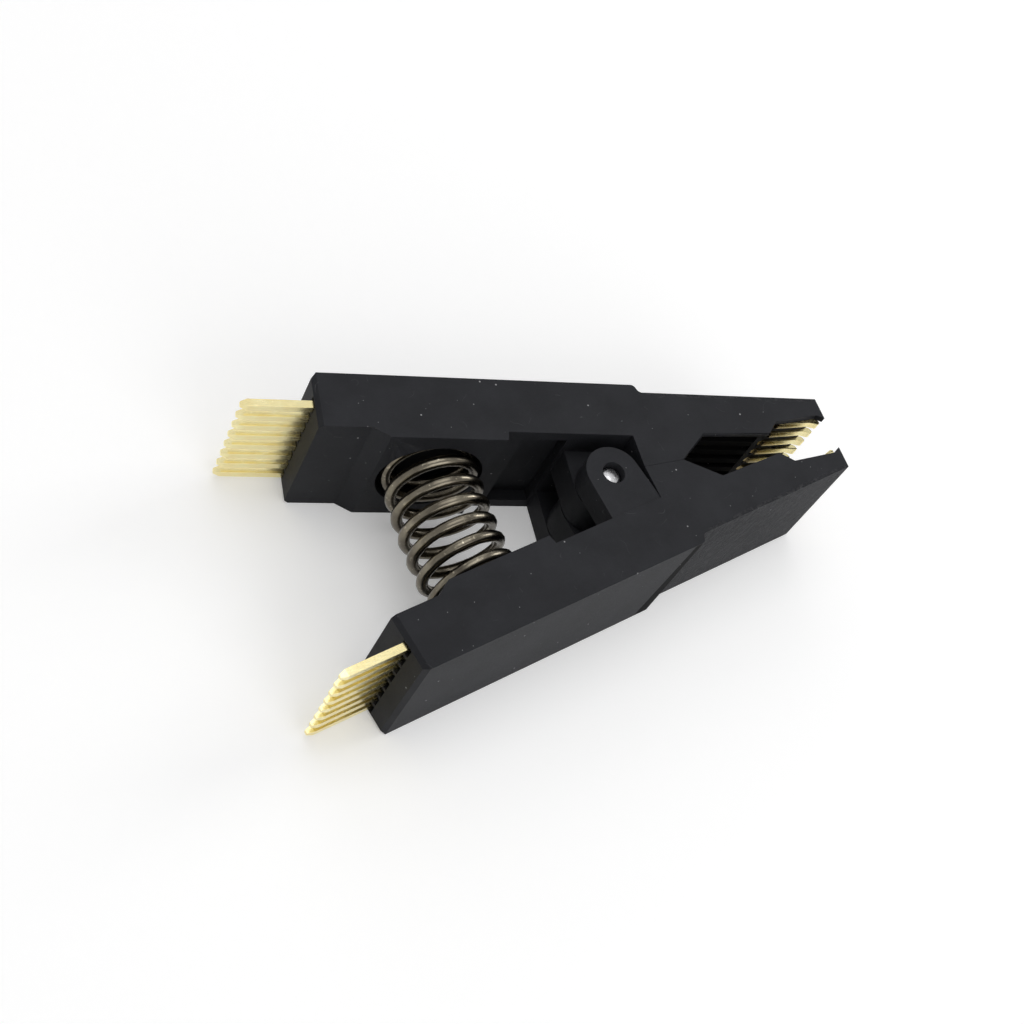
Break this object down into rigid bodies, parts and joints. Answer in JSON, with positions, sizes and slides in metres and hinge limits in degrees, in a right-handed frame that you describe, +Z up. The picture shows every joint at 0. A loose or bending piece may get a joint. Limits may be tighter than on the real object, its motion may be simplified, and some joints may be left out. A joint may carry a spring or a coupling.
{
  "type": "ic test clip",
  "caption": "Spring-loaded test clip for small-outline chips: two hinged plastic jaws, a coil spring and rows of gold contacts with rear tails",
  "frame": {"origin": "centre of the underside of the bounding box with the clip lying on its side and closed", "axes": "+X towards the jaw tips along the closed clip's centre line, +Y to the rear jaw, +Z up and along the hinge pin"},
  "size_m": [0.045, 0.0234, 0.0106],
  "materials": {
    "jaw_plastic": "black glass-filled moulding plastic, satin, finely grained",
    "pin_steel": "bright ground steel pin",
    "spring_steel": "dark nickel-plated spring wire with drawing marks",
    "contact_gold": "thin bright gold plate over copper alloy"
  },
  "bodies": {
    "front_half": {"jaw_front": "jaw_plastic", "hinge_pin": "pin_steel", "spring": "spring_steel", "contact_front_1": "contact_gold", "contact_front_2": "contact_gold", "contact_front_3": "contact_gold", "contact_front_4": "contact_gold", "contact_front_5": "contact_gold", "contact_front_6": "contact_gold", "contact_front_7": "contact_gold", "contact_front_8": "contact_gold"},
    "rear_half": {"jaw_rear": "jaw_plastic", "contact_rear_1": "contact_gold", "contact_rear_2": "contact_gold", "contact_rear_3": "contact_gold", "contact_rear_4": "contact_gold", "contact_rear_5": "contact_gold", "contact_rear_6": "contact_gold", "contact_rear_7": "contact_gold", "contact_rear_8": "contact_gold"}
  },
  "joints": [
    {"name": "jaw_hinge", "type": "hinge", "parent": "front_half", "child": "rear_half", "pos_m": [0.00275, 0, 0.0053], "axis": [0, 0, 1], "range_deg": [0, 20], "stiffness_Nm_per_rad": 0.2, "springref_deg": -20.05, "deforming": ["spring"]}
  ]
}
